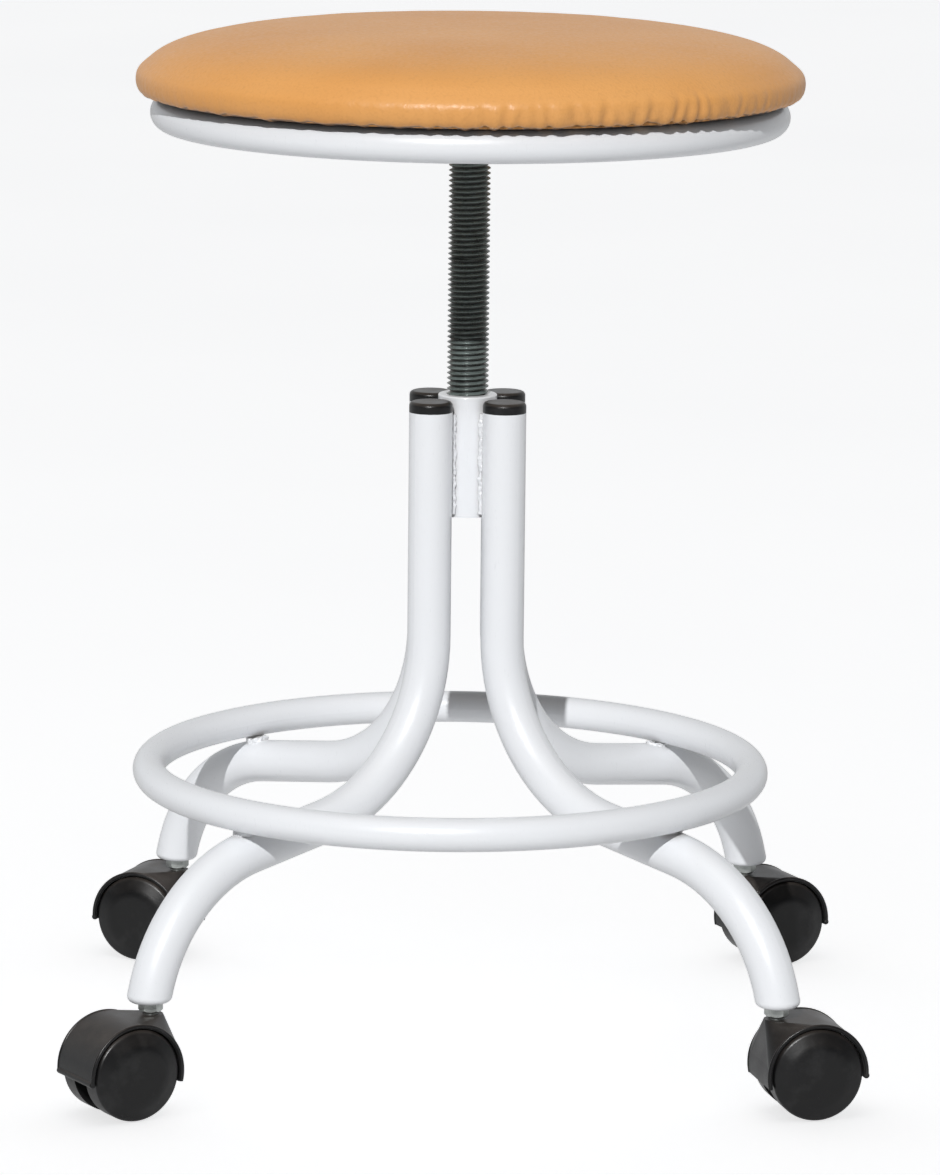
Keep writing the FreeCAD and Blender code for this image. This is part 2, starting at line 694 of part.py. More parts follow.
seat_bar(
    "cross_bar_side_to_side",
    "2 * " + BAR_REACH,
    "dims.bar_width",
    "-" + BAR_REACH,
    "-" + HALF_BAR,
    [("dims.screw_circle", "0"), ("-dims.screw_circle", "0")],
)
half_length = BAR_REACH + " - " + HALF_BAR
seat_bar(
    "cross_bar_front",
    "dims.bar_width",
    half_length,
    "-" + HALF_BAR,
    "-" + BAR_REACH,
    [("0", "-dims.screw_circle")],
)
seat_bar(
    "cross_bar_rear",
    "dims.bar_width",
    half_length,
    "-" + HALF_BAR,
    HALF_BAR,
    [("0", "dims.screw_circle")],
)

COVER_BOTTOM = "(dims.rim_height + dims.ring_tube_diameter / 2 + dims.seat_gap)"
BOARD_BOTTOM = "(%s + dims.cover_thickness + dims.seat_gap)" % COVER_BOTTOM
BOARD_TOP = "(%s + dims.board_thickness)" % BOARD_BOTTOM
INNER_FACE = "dims.cover_thickness"
FOAM_FACE = "(dims.cover_thickness + dims.foam_gap)"

# Outline of the seat: radius, height and rounding of each corner, and how far the
# corner moves inwards and down for each millimetre that the outline shrinks.
SEAT_CORNERS = [
    ("dims.crown_radius", "dims.seat_top", 160, 0.12, 1),
    ("dims.shoulder_radius", "dims.shoulder_height", 70, 0.41, 0.93),
    ("dims.seat_radius", "dims.side_height", 12, 1, 0.54),
    ("dims.seat_radius", COVER_BOTTOM, 8, 1, -1),
]


def seat_form(name, inset):
    """The shape of the padded seat, shrunk by an inset on every side."""
    corners = [
        ("%s - %g * %s" % (radius, inwards, inset), "%s - %g * %s" % (z, down, inset))
        for radius, z, rounding, inwards, down in SEAT_CORNERS
    ]
    top, bottom = corners[0][1], corners[-1][1]
    body = revolved(name, [("0", top)] + corners + [("0", bottom)])
    for corner, (radius, z, rounding, inwards, down) in zip(corners, SEAT_CORNERS):
        round_edges(body, "%g - %s" % (rounding, inset), [corner])
    return body


mouth = cylinder("cover_mouth", "dims.cover_fold", BOARD_TOP)
cover_tool = fuse("cover_tool", [seat_form("cover_inside", INNER_FACE), mouth])
piece(cut("cover", seat_form("cover_outside", "0"), cover_tool), "seat_cover")

piece(
    revolved(
        "board",
        [
            ("0", BOARD_BOTTOM),
            ("dims.board_radius", BOARD_BOTTOM),
            ("dims.board_radius", BOARD_TOP),
            ("0", BOARD_TOP),
        ],
    ),
    "seat_board",
)

board_space = cylinder(
    "board_space", "dims.board_radius + dims.foam_gap", BOARD_TOP + " + dims.foam_gap"
)
piece(cut("foam", seat_form("foam_outside", FOAM_FACE), board_space), "seat_foam")

SCREW_SPOTS = [(1, 0), (-1, 0), (0, -1), (0, 1)]
HEAD_BOTTOM = "(%s - dims.screw_head_height)" % PLATE_TOP
SCREW_END = "(%s - dims.screw_margin)" % BOARD_TOP
screws = []
for number, (east, north) in enumerate(SCREW_SPOTS, start=1):
    x, y = "dims.screw_circle * %d" % east, "dims.screw_circle * %d" % north
    screw = revolved(
        "screw%d" % number,
        [
            ("0", HEAD_BOTTOM),
            ("dims.screw_head_radius", HEAD_BOTTOM),
            ("dims.screw_head_radius", PLATE_TOP),
            ("dims.screw_radius", PLATE_TOP),
            ("dims.screw_radius", SCREW_END),
            ("0", SCREW_END),
        ],
    )
    round_edges(screw, "dims.screw_head_rounding", [("dims.screw_head_radius", HEAD_BOTTOM)])
    screws.append(place(screw, x, y))
piece(group("screws", screws), "seat_screws")

STAPLE_COUNT = 24
STAPLE_X = "dims.cover_fold + dims.staple_inset"
STAPLE_Z = "%s - dims.staple_wire" % COVER_BOTTOM
HALF_STAPLE = "dims.staple_width / 2"
staples = []
for number in range(STAPLE_COUNT):
    angle = "%g" % ((number + 0.5) * 360 / STAPLE_COUNT)
    name = "staple%d" % number
    breadth, wire = "dims.staple_breadth", "dims.staple_wire"
    crown_at = (STAPLE_X, "-" + HALF_STAPLE, STAPLE_Z)
    crown = box(name + "_crown", breadth, "dims.staple_width", wire, crown_at)
    legs = [
        box(name + end, breadth, wire, "dims.staple_depth", (STAPLE_X, y, STAPLE_Z))
        for end, y in (("_left", "-" + HALF_STAPLE), ("_right", HALF_STAPLE + " - " + wire))
    ]
    staples.append(place(fuse(name, [crown] + legs), turn=angle))
piece(group("staples", staples), "cover_staples")

# ---------------------------------------------------------------------------
# Castors
# ---------------------------------------------------------------------------
# Each castor is laid out with its stem on the vertical axis and its wheels
# trailing towards +X, then turned to its heading and moved under its leg.

AXLE_X, AXLE_Z = "dims.castor_trail", "dims.wheel_radius"
HOOD_TOP = "(dims.wheel_radius + dims.hood_radius)"
HOOD_WALL = "(dims.hood_radius - dims.hood_clearance)"
BEAD_Y = "(dims.hood_half_width - dims.hood_bead)"
SPAN = "(2 * dims.hood_radius)"  # long enough to reach across the whole hood
CREST_DEPTH = 5  # deep enough to reach into the hood below it
BEAD_PROUD = 0.4  # share of the bead's radius that stands out of the hood
LIP_PROUD = 0.6  # share of the lip's radius that stands out of the hood


def hood_crest(name):
    """Flat top of the hood, widening from the stem pad to the full width."""
    body = doc.addObject("PartDesign::Body", name)
    sketch = new_sketch(body, name + "_plan", "XY_Plane", HOOD_TOP)
    trail, half, pad_radius = size(AXLE_X), size(BEAD_Y), size("dims.pad_radius")
    reach = math.atan2(half, trail) + math.acos(pad_radius / math.hypot(trail, half))
    touch = Vector(math.cos(reach), math.sin(reach), 0) * pad_radius
    left, right = Vector(trail, half, 0), Vector(trail, -half, 0)
    front = Vector(-pad_radius, 0, 0)
    other = Vector(touch.x, -touch.y, 0)
    sketch.addGeometry(Part.LineSegment(right, left), False)
    sketch.addGeometry(Part.LineSegment(left, touch), False)
    sketch.addGeometry(Part.Arc(touch, front, other), False)
    sketch.addGeometry(Part.LineSegment(other, right), False)
    pad = body.newObject("PartDesign::Pad", name + "_pad")
    pad.Profile = sketch
    pad.Length = CREST_DEPTH
    pad.Reversed = True
    body.Tip = pad
    return body


def hood_shoulder(name, side):
    """Side of the nose, running from the stem pad to one edge of the hood."""
    pad_at = ("0", "0", HOOD_TOP)
    edge_at = (AXLE_X, "%d * %s" % (side, BEAD_Y), AXLE_Z)
    upright = Rotation(EAST, 90 * side)
    pad = solid("Part::Circle", name + "_pad", {"Radius": "dims.pad_radius"}, pad_at)
    edge = solid("Part::Circle", name + "_edge", {"Radius": "dims.hood_radius"}, edge_at, upright)
    loft = doc.addObject("Part::Loft", name)
    loft.Sections = [pad, edge]
    loft.Solid = True
    loft.Ruled = True
    return loft


def hood_front(name):
    """Sloping front face of the hood, narrow at the pad and full width below."""
    formulas = {
        "Xmin": "dims.castor_trail - dims.hood_radius",
        "Xmax": AXLE_X,
        "X2min": "-dims.pad_radius",
        "X2max": AXLE_X,
        "Ymin": "0",
        "Ymax": "dims.hood_radius",
        "Zmin": "-" + BEAD_Y,
        "Zmax": BEAD_Y,
        "Z2min": "-dims.hood_bead",
        "Z2max": "dims.hood_bead",
    }
    return solid("Part::Wedge", name, formulas, ("0", "0", AXLE_Z), Rotation(EAST, 90))


def hood_bead(name, side):
    """Rounded edge of the hood round one wheel opening."""
    ring_radius = "dims.hood_radius - %g * dims.hood_bead" % (1 - BEAD_PROUD)
    formulas = {"Radius1": ring_radius, "Radius2": "dims.hood_bead"}
    at = (AXLE_X, "%d * %s" % (side, BEAD_Y), AXLE_Z)
    return solid("Part::Torus", name, formulas, at, Rotation(EAST, 90))


def tail_lip(name):
    """Rolled lower edge of the hood behind the wheels, with round ends."""
    sunk = "%g * dims.tail_lip" % (1 - LIP_PROUD)
    x = "(dims.castor_trail + dims.hood_radius - %s)" % sunk
    end_y = "(dims.hood_half_width - dims.tail_lip)"
    roll = cross_cylinder(name + "_roll", "dims.tail_lip", end_y, x, "dims.tail_height")
    ends = [
        solid(
            "Part::Sphere",
            name + "_end_" + letter,
            {"Radius": "dims.tail_lip"},
            (x, "%d * %s" % (side, end_y), "dims.tail_height"),
        )
        for letter, side in (("a", 1), ("b", -1))
    ]
    return [roll] + ends


def housing(where):
    """Hood over both wheels, stem socket and the web that carries the axle."""
    name = where + "_housing"
    web = "dims.web_half_width"
    shell = [
        cross_cylinder(name + "_drum", "dims.hood_radius", BEAD_Y, AXLE_X, AXLE_Z),
        hood_front(name + "_front"),
    ]
    for letter, side in (("a", 1), ("b", -1)):
        shell.append(hood_shoulder(name + "_shoulder_" + letter, side))
        shell.append(hood_bead(name + "_bead_" + letter, side))
    before_axle = (AXLE_X + " - " + SPAN, "-dims.hood_radius", "dims.nose_height")
    behind_axle = (AXLE_X, "-dims.hood_radius", "dims.tail_height")
    room = fuse(name + "_room", [
        box(name + "_before", SPAN, SPAN, SPAN, before_axle),
        box(name + "_behind", SPAN, SPAN, SPAN, behind_axle),
    ])
    hood = common(name + "_hood", [fuse(name + "_shell", shell), room])
    upper = fuse(name + "_upper", [hood, hood_crest(name + "_crest")] + tail_lip(name + "_lip"))
    tunnel = cross_cylinder(name + "_tunnel", "dims.hood_clearance", SPAN, AXLE_X, AXLE_Z)
    arch = cut(name + "_arch", upper, tunnel)

    hub = cross_cylinder(name + "_hub", "dims.web_radius", web, AXLE_X, AXLE_Z)
    socket_bottom = "(dims.stem_bottom - dims.socket_floor)"
    socket_height = "(%s - %s - %s)" % (HOOD_TOP, HOOD_WALL, socket_bottom)
    socket = cylinder(name + "_socket", web, socket_height, ("0", "0", socket_bottom))
    brace_at = ("0", "-" + web, socket_bottom)
    brace = box(name + "_brace", AXLE_X, "2 * " + web, socket_height, brace_at)
    blank = fuse(name + "_blank", [arch, hub, socket, brace])
    bore_radius = "dims.stem_radius + dims.bore_clearance"
    bore = cylinder(name + "_bore", bore_radius, SPAN, ("0", "0", "dims.stem_bottom - 1"))
    axle_hole = cross_cylinder(name + "_axle_hole", "dims.axle_radius", SPAN, AXLE_X, AXLE_Z)
    return cut(name, blank, fuse(name + "_holes", [bore, axle_hole]))


def wheel(name, side):
    """Domed wheel with a blind bore, on one side of the web."""
    inner = "%d * dims.wheel_inner" % side
    outer = "%d * dims.wheel_outer" % side
    crown = "%d * (dims.wheel_outer - dims.wheel_dome)" % side
    recess = "%d * (dims.wheel_inner + dims.wheel_recess)" % side
    bore_end = "%d * (dims.wheel_inner + dims.axle_depth)" % side
    bore = "dims.axle_radius + dims.bore_clearance"
    flat = "dims.wheel_flat"
    tyre, hub = "dims.wheel_radius - dims.wheel_tyre", "dims.wheel_hub"
    body = revolved(
        name,
        [
            ("0", outer),
            (flat, outer),
            ("dims.wheel_radius", crown),
            ("dims.wheel_radius", inner),
            (tyre, inner),
            (tyre, recess),
            (hub, recess),
            (hub, inner),
            (bore, inner),
            (bore, bore_end),
            ("0", bore_end),
        ],
        "XY_Plane",
    )
    round_edges(body, "dims.wheel_dome_blend", [(flat, outer)])
    round_edges(body, "dims.wheel_edge", [("dims.wheel_radius", crown)])
    return body


CLIP_Z = "(dims.stem_bottom + dims.clip_height)"
CLIP_RADIUS = "dims.stem_radius - dims.clip_groove_depth / 2"


def stem(where):
    """Threaded shank, hexagonal collar and pin of one castor."""
    name = where + "_stem"
    pin = "dims.stem_radius"
    groove = pin + " - dims.clip_groove_depth"
    groove_low = "%s - dims.clip_groove_half" % CLIP_Z
    groove_high = "%s + dims.clip_groove_half" % CLIP_Z
    shaft = revolved(
        name + "_shaft",
        [
            ("0", "dims.stem_bottom"),
            (pin, "dims.stem_bottom"),
            (pin, groove_low),
            (groove, groove_low),
            (groove, groove_high),
            (pin, groove_high),
            (pin, "dims.stem_top"),
            ("0", "dims.stem_top"),
        ],
    )
    ends = [(pin, "dims.stem_bottom"), (pin, "dims.stem_top")]
    round_edges(shaft, "dims.stem_rounding", ends)
    height = "dims.foot_bottom - dims.collar_bottom - dims.bore_clearance"
    at = ("0", "0", "dims.collar_bottom")
    collar = hexagon(name + "_collar", "dims.collar_width", height, at)
    bevel = solid(
        "Part::Cone",
        name + "_bevel",
        {
            "Radius1": "dims.collar_width / 2 - 1",
            "Radius2": "dims.collar_width",
            "Height": height,
        },
        at,
    )
    return fuse(name, [shaft, common(name + "_nut", [collar, bevel])])


clips = []
for where, (side_x, side_y) in CORNERS.items():
    heading = "dims.heading_" + where
    x = "%d * dims.castor_reach" % side_x
    y = "%d * dims.castor_reach" % side_y
    axle_x = "%s + dims.castor_trail * cos(%s)" % (x, heading)
    axle_y = "%s + dims.castor_trail * sin(%s)" % (y, heading)
    place(piece(stem(where), "castor_stem_" + where), x, y)
    clips.append(torus("clip_" + where, CLIP_RADIUS, "dims.clip_wire", (x, y, CLIP_Z)))
    place(piece(housing(where), "castor_housing_" + where), x, y, turn=heading)
    half_axle = "dims.wheel_inner + dims.axle_depth - dims.axle_end_play"
    axle = cross_cylinder("axle_" + where, "dims.axle_radius", half_axle, "0", "0")
    shaft = group("axle_group_" + where, [axle])
    place(piece(shaft, "castor_axle_" + where), axle_x, axle_y, "dims.wheel_radius", heading)
    for letter, side in (("a", 1), ("b", -1)):
        node = "wheel_%s_%s" % (where, letter)
        disc = piece(wheel(node + "_disc", side), node)
        place(disc, axle_x, axle_y, "dims.wheel_radius", heading)
piece(group("clips", clips), "stem_clips")

# ---------------------------------------------------------------------------
# Check and write
# ---------------------------------------------------------------------------

doc.recompute()
for obj in doc.Objects:
    if "Invalid" in obj.State or "Error" in obj.State:
        raise SystemExit("%s did not build: %s" % (obj.Name, obj.State))
for obj in pieces:
    if obj.Shape.isNull() or not obj.Shape.isValid() or not obj.Shape.Solids:
        raise SystemExit("%s has no valid solid" % obj.Label)
for obj in pieces:
    obj.Shape.exportStep("parts/%s.step" % obj.Label)
    line = "%-28s %10.0f mm3 %2d solid(s)"
    print(line % (obj.Label, obj.Shape.Volume, len(obj.Shape.Solids)))
print(len(pieces), "pieces")
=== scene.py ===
import json
import math
import random

import bpy
import numpy as np
from mathutils import Matrix, Vector


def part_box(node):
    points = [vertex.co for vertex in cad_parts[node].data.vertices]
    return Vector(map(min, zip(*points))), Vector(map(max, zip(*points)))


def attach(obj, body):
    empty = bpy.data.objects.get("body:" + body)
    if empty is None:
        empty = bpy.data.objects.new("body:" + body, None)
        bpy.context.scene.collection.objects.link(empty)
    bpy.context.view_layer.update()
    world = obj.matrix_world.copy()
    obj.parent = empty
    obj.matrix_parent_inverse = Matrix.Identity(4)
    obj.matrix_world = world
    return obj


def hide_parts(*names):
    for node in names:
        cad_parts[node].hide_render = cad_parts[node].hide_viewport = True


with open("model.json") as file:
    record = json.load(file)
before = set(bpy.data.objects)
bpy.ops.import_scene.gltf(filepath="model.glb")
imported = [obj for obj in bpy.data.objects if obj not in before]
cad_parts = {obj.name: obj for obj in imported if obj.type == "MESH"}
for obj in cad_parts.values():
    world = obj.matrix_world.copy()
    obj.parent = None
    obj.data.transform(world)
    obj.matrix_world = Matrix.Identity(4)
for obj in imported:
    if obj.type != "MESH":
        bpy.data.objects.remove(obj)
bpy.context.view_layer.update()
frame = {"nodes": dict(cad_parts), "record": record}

# Dentist stool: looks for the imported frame. Metres, +Z up; the spindle axis is the
# Z axis and the sitter's front is towards -Y.

# ---------------------------------------------------------------------------
# Colours, as linear light
# ---------------------------------------------------------------------------

TAN = (0.74, 0.345, 0.098, 1)
TAN_PALE = (0.79, 0.39, 0.125, 1)
# deep tan for the grain's valleys, also the painted shade on the cushion's sides and corners
TAN_GRAIN_AND_SHADE = (0.34, 0.14, 0.035, 1)
# nearly black painted shadow for the cushion's downward faces
TAN_PAINTED_SHADOW = (0.035, 0.016, 0.008, 1)
WHITE = (0.80, 0.815, 0.84, 1)
# grey painted shade for the white coat where it turns edge-on
WHITE_EDGE_SHADE = (0.55, 0.55, 0.54, 1)
# grime and painted shade in the white coat's corners
GRIME_AND_SHADE = (0.30, 0.27, 0.24, 1)
BLACK = (0.0055, 0.0055, 0.0058, 1)
BLACK_WORN = (0.016, 0.016, 0.0165, 1)
# brownish dust and painted sheen on upward faces of the black plastic
TOP_DUST_AND_SHEEN = (0.085, 0.070, 0.060, 1)
STEEL_DARK = (0.14, 0.168, 0.16, 1)
STEEL_GREY = (0.22, 0.27, 0.26, 1)
OIL = (0.010, 0.010, 0.009, 1)
# painted brown shade on the thread where it turns edge-on
BROWN_EDGE_SHADE = (0.085, 0.045, 0.010, 1)
ZINC = (0.55, 0.58, 0.56, 1)
ZINC_DULL = (0.34, 0.36, 0.35, 1)
VENEER = (0.60, 0.42, 0.24, 1)
VENEER_DARK = (0.36, 0.22, 0.11, 1)
FLOOR_PALE = (0.93, 0.93, 0.93, 1)
FLOOR_GREY = (0.89, 0.89, 0.895, 1)
FLOOR_GLOW = 0.42
FLOOR_GLOW_SEEN = 0.80
WORLD_DARK = 0.08
WORLD_BRIGHT = 0.75

# ---------------------------------------------------------------------------
# Spindle
# ---------------------------------------------------------------------------

SPINDLE_RADIUS = 0.012  # over the thread's crests
THREAD_DEPTH = 0.00184
# each band's height above the spindle's lower end and half its width
DARK_BANDS = [(0.0902, 0.0006), (0.0659, 0.0004), (0.1358, 0.0006)]

# ---------------------------------------------------------------------------
# Material helpers
# ---------------------------------------------------------------------------


def feed(tree, node, inputs):
    """Sets a node's inputs; each is a value or the socket that feeds it."""
    for name, value in inputs.items():
        if isinstance(value, bpy.types.NodeSocket):
            tree.links.new(value, node.inputs[name])
        else:
            node.inputs[name].default_value = value


def add(tree, kind, inputs, **settings):
    """A new shader node with its settings and inputs."""
    node = tree.nodes.new("ShaderNode" + kind)
    for name, value in settings.items():
        setattr(node, name, value)
    feed(tree, node, inputs)
    return node


def new_material(name):
    material = bpy.data.materials.new(name)
    material.use_nodes = True
    return material, material.node_tree, material.node_tree.nodes["Principled BSDF"]


def place_of(tree):
    """Position in the object's own frame, which is the frame of the whole stool."""
    return add(tree, "TexCoord", {}).outputs["Object"]


def stretched(tree, where, scale):
    mapping = add(tree, "Mapping", {"Vector": where, "Scale": scale})
    return mapping.outputs["Vector"]


def noise(tree, where, scale, detail=3.0, roughness=0.5):
    inputs = {"Vector": where, "Scale": scale, "Detail": detail, "Roughness": roughness}
    return add(tree, "TexNoise", inputs).outputs["Fac"]


def cells(tree, where, scale, feature="SMOOTH_F1"):
    inputs = {"Vector": where, "Scale": scale}
    return add(tree, "TexVoronoi", inputs, feature=feature).outputs["Distance"]


def remap(tree, value, low, high, to_low=0.0, to_high=1.0):
    inputs = {"Value": value, 1: low, 2: high, 3: to_low, 4: to_high}
    return add(tree, "MapRange", inputs).outputs["Result"]


def blend_colour(tree, share, first, second):
    node = add(tree, "Mix", {"Factor": share, 6: first, 7: second}, data_type="RGBA")
    return node.outputs[2]


def calculate(tree, operation, first, second):
    return add(tree, "Math", {0: first, 1: second}, operation=operation).outputs[0]


def bump(tree, height, distance, strength, below=None):
    inputs = {"Height": height, "Distance": distance, "Strength": strength}
    if below is not None:
        inputs["Normal"] = below
    return add(tree, "Bump", inputs).outputs["Normal"]


def crevices(tree, reach):
    """One where the surface is open, falling to zero in corners."""
    inputs = {"Distance": reach}
    return add(tree, "AmbientOcclusion", inputs, samples=6).outputs["AO"]


def facing_up(tree, low=0.25, high=0.95):
    """How far the surface looks up, from zero to one."""
    normal = add(tree, "NewGeometry", {}).outputs["Normal"]
    parts = add(tree, "SeparateXYZ", {"Vector": normal})
    return remap(tree, parts.outputs["Z"], low, high)


# ---------------------------------------------------------------------------
# Materials
# ---------------------------------------------------------------------------


def leatherette():
    """Embossed vinyl: pebbled grain, slow drifts in tone, painted shade on the sides and in
    corners, painted shadow underneath.
    """
    material, tree, shader = new_material("leatherette")
    where = place_of(tree)
    pebbles = cells(tree, where, 720)
    wrinkles = noise(tree, where, 420, 4)
    drift = noise(tree, where, 9, 2)
    colour = blend_colour(tree, remap(tree, drift, 0.35, 0.65), TAN, TAN_PALE)
    valleys = remap(tree, pebbles, 0.45, 0.75, 0.0, 0.10)
    colour = blend_colour(tree, valleys, colour, TAN_GRAIN_AND_SHADE)
    # painted shade: faces that do not look up are darkened a little towards deep tan
    side_shade = calculate(tree, "SUBTRACT", 1.0, facing_up(tree))
    colour = blend_colour(tree, calculate(tree, "MULTIPLY", side_shade, 0.15), colour, TAN_GRAIN_AND_SHADE)
    # painted shade in corners and creases, taken from ambient occlusion, towards deep tan
    corners = remap(tree, crevices(tree, 0.008), 0.25, 0.85, 0.75, 0.0)
    colour = blend_colour(tree, corners, colour, TAN_GRAIN_AND_SHADE)
    # painted shadow: faces that look down are turned nearly black
    underside = calculate(tree, "SUBTRACT", 1.0, facing_up(tree, -0.97, -0.82))
    colour = blend_colour(tree, underside, colour, TAN_PAINTED_SHADOW)
    grain = bump(tree, pebbles, 0.0003, 0.35)
    grain = bump(tree, wrinkles, 0.0004, 0.35, grain)
    gloss = remap(tree, wrinkles, 0.3, 0.7, 0.33, 0.46)
    feed(tree, shader, {
        "Base Color": colour,
        "Roughness": gloss,
        "Specular IOR Level": 0.36,
        "Normal": grain,
    })
    return material


def powder_coat():
    """Gloss white powder coat: orange peel, grime and painted shade in corners, painted shade
    along the edges.
    """
    material, tree, shader = new_material("white_powder_coat")
    where = place_of(tree)
    peel = noise(tree, where, 260, 2)
    drift = noise(tree, where, 14, 3)
    # painted shade: the white greys where the surface turns edge-on to the view
    rim = add(tree, "LayerWeight", {"Blend": 0.35}).outputs["Facing"]
    colour = blend_colour(tree, remap(tree, rim, 0.6, 1.0, 0.0, 0.4), WHITE, WHITE_EDGE_SHADE)
    # grime and painted shade in corners: ambient occlusion, made patchy by the drift noise
    corners = remap(tree, crevices(tree, 0.006), 0.15, 0.8, 0.8, 0.0)
    corner_grime_and_shade = calculate(tree, "MULTIPLY", corners, drift)
    colour = blend_colour(tree, corner_grime_and_shade, colour, GRIME_AND_SHADE)
    scratches = noise(tree, stretched(tree, where, (1, 1, 0.15)), 900, 5, 0.7)
    roughness = remap(tree, scratches, 0.35, 0.75, 0.27, 0.42)
    feed(tree, shader, {
        "Base Color": colour,
        "Roughness": roughness,
        "Coat Weight": 0.35,
        "Coat Roughness": 0.10,
        "Normal": bump(tree, peel, 0.0006, 0.10),
    })
    return material


def black_plastic(name, gloss, grain):
    """Moulded black plastic: fine texture, scuffs, dust and a painted sheen on top."""
    material, tree, shader = new_material(name)
    where = place_of(tree)
    texture = noise(tree, where, 1500, 3)
    patches = noise(tree, where, 55, 5, 0.65)
    worn = remap(tree, patches, 0.52, 0.72)
    colour = blend_colour(tree, worn, BLACK, BLACK_WORN)
    # dust and a painted sheen: faces that look up turn lighter brown, in patches
    patchy_dust_and_sheen = remap(tree, patches, 0.25, 0.7, 0.15, 0.65)
    dust_and_sheen_on_top = calculate(tree, "MULTIPLY", facing_up(tree), patchy_dust_and_sheen)
    colour = blend_colour(tree, dust_and_sheen_on_top, colour, TOP_DUST_AND_SHEEN)
    feed(tree, shader, {
        "Base Color": colour,
        "Roughness": remap(tree, patches, 0.3, 0.75, gloss, gloss + 0.16),
        "Specular IOR Level": 0.38,
        "Normal": bump(tree, texture, 0.0002, grain),
    })
    return material


def band(tree, height, middle, half, ragged):
    """One inside a level band with ragged edges, zero outside."""
    away = calculate(tree, "ABSOLUTE", calculate(tree, "SUBTRACT", height, middle), 0.0)
    away = calculate(tree, "ADD", away, ragged)
    return remap(tree, away, half, half * 1.4, 1.0, 0.0)


def oiled_steel():
    """Rolled thread: grey flanks, oil in the roots, dark bands round it, painted brown shade
    where it turns edge-on.
    """
    material, tree, shader = new_material("oiled_steel")
    where = place_of(tree)
    parts = add(tree, "SeparateXYZ", {"Vector": where})
    flat = add(tree, "CombineXYZ", {"X": parts.outputs["X"], "Y": parts.outputs["Y"]})
    radius = add(tree, "VectorMath", {0: flat.outputs[0]}, operation="LENGTH").outputs["Value"]
    streaks = noise(tree, stretched(tree, where, (1, 1, 6)), 160, 5, 0.6)
    patches = noise(tree, where, 70, 3, 0.6)
    root = SPINDLE_RADIUS - THREAD_DEPTH
    flank = remap(tree, radius, root, root + 0.35 * THREAD_DEPTH)
    colour = blend_colour(tree, flank, OIL, STEEL_DARK)
    shine = calculate(tree, "MULTIPLY", flank, remap(tree, streaks, 0.4, 0.7))
    colour = blend_colour(tree, shine, colour, STEEL_GREY)
    # painted shade: the thread turns darker brown where it is seen edge-on
    edge_on = add(tree, "LayerWeight", {"Blend": 0.5}).outputs["Facing"]
    silhouette_shade = remap(tree, edge_on, 0.55, 0.95, 0.0, 0.8)
    colour = blend_colour(tree, silhouette_shade, colour, BROWN_EDGE_SHADE)
    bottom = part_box("spindle")[0].z
    height = calculate(tree, "SUBTRACT", parts.outputs["Z"], bottom)
    # dark ragged bands round the thread at the heights listed above, in the oil colour
    for middle, half in DARK_BANDS:
        ragged = remap(tree, patches, 0.35, 0.65, 0.0, half)
        dark_band = band(tree, height, middle, half, ragged)
        colour = blend_colour(tree, dark_band, colour, OIL)
    soft = add(tree, "Bevel", {"Radius": 0.0006}, samples=6).outputs["Normal"]
    feed(tree, shader, {
        "Base Color": colour,
        "Metallic": 0.35,
        "Roughness": remap(tree, streaks, 0.3, 0.7, 0.24, 0.36),
        "Specular IOR Level": 0.45,
        "Coat Weight": 0.35,
        "Coat Roughness": 0.10,
        "Normal": bump(tree, streaks, 0.0002, 0.15, soft),
    })
    return material


def zinc_plate():
    """Dull zinc: cloudy shade and fine scratches."""
    material, tree, shader = new_material("zinc_plate")
    where = place_of(tree)
    clouds = noise(tree, where, 120, 4)
    scratches = noise(tree, stretched(tree, where, (1, 1, 12)), 500, 4, 0.7)
    colour = blend_colour(tree, remap(tree, clouds, 0.35, 0.65), ZINC, ZINC_DULL)
    feed(tree, shader, {
        "Base Color": colour,
        "Metallic": 0.8,
        "Roughness": remap(tree, scratches, 0.3, 0.7, 0.28, 0.45),
        "Normal": bump(tree, scratches, 0.0001, 0.2),
    })
    return material


def plywood():
    """Birch ply: grain along X on the faces, layers on the edge."""
    material, tree, shader = new_material("plywood")
    where = place_of(tree)
    grain = noise(tree, stretched(tree, where, (0.06, 1, 1)), 240, 6, 0.6)
    figure = noise(tree, stretched(tree, where, (0.1, 1, 1)), 30, 3)
    parts = add(tree, "SeparateXYZ", {"Vector": where})
    low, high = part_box("seat_board")
    plies = 7
    layer = calculate(tree, "MULTIPLY", parts.outputs["Z"], plies * math.pi / (high.z - low.z))
    stripe = remap(tree, calculate(tree, "SINE", layer, 0.0), -0.3, 0.3)
    colour = blend_colour(tree, remap(tree, grain, 0.35, 0.7, 0.0, 0.6), VENEER, VENEER_DARK)
    colour = blend_colour(tree, remap(tree, figure, 0.45, 0.7, 0.0, 0.4), colour, VENEER_DARK)
    colour = blend_colour(tree, calculate(tree, "MULTIPLY", stripe, 0.35), colour, VENEER_DARK)
    feed(tree, shader, {
        "Base Color": colour,
        "Roughness": 0.72,
        "Normal": bump(tree, grain, 0.0003, 0.3),
    })
    return material


def floor_paint():
    """Pale studio floor with a faint mottle."""
    material, tree, shader = new_material("studio_floor")
    where = place_of(tree)
    mottle = noise(tree, where, 1.2, 4)
    colour = blend_colour(tree, mottle, FLOOR_PALE, FLOOR_GREY)
    seen = add(tree, "LightPath", {}).outputs["Is Camera Ray"]
    feed(tree, shader, {
        "Base Color": colour,
        "Roughness": 0.8,
        "Specular IOR Level": 0.1,
        "Emission Color": colour,
        "Emission Strength": remap(tree, seen, 0.0, 1.0, FLOOR_GLOW, FLOOR_GLOW_SEEN),
    })
    return material


def paint(obj, material):
    obj.data.materials.clear()
    obj.data.materials.append(material)


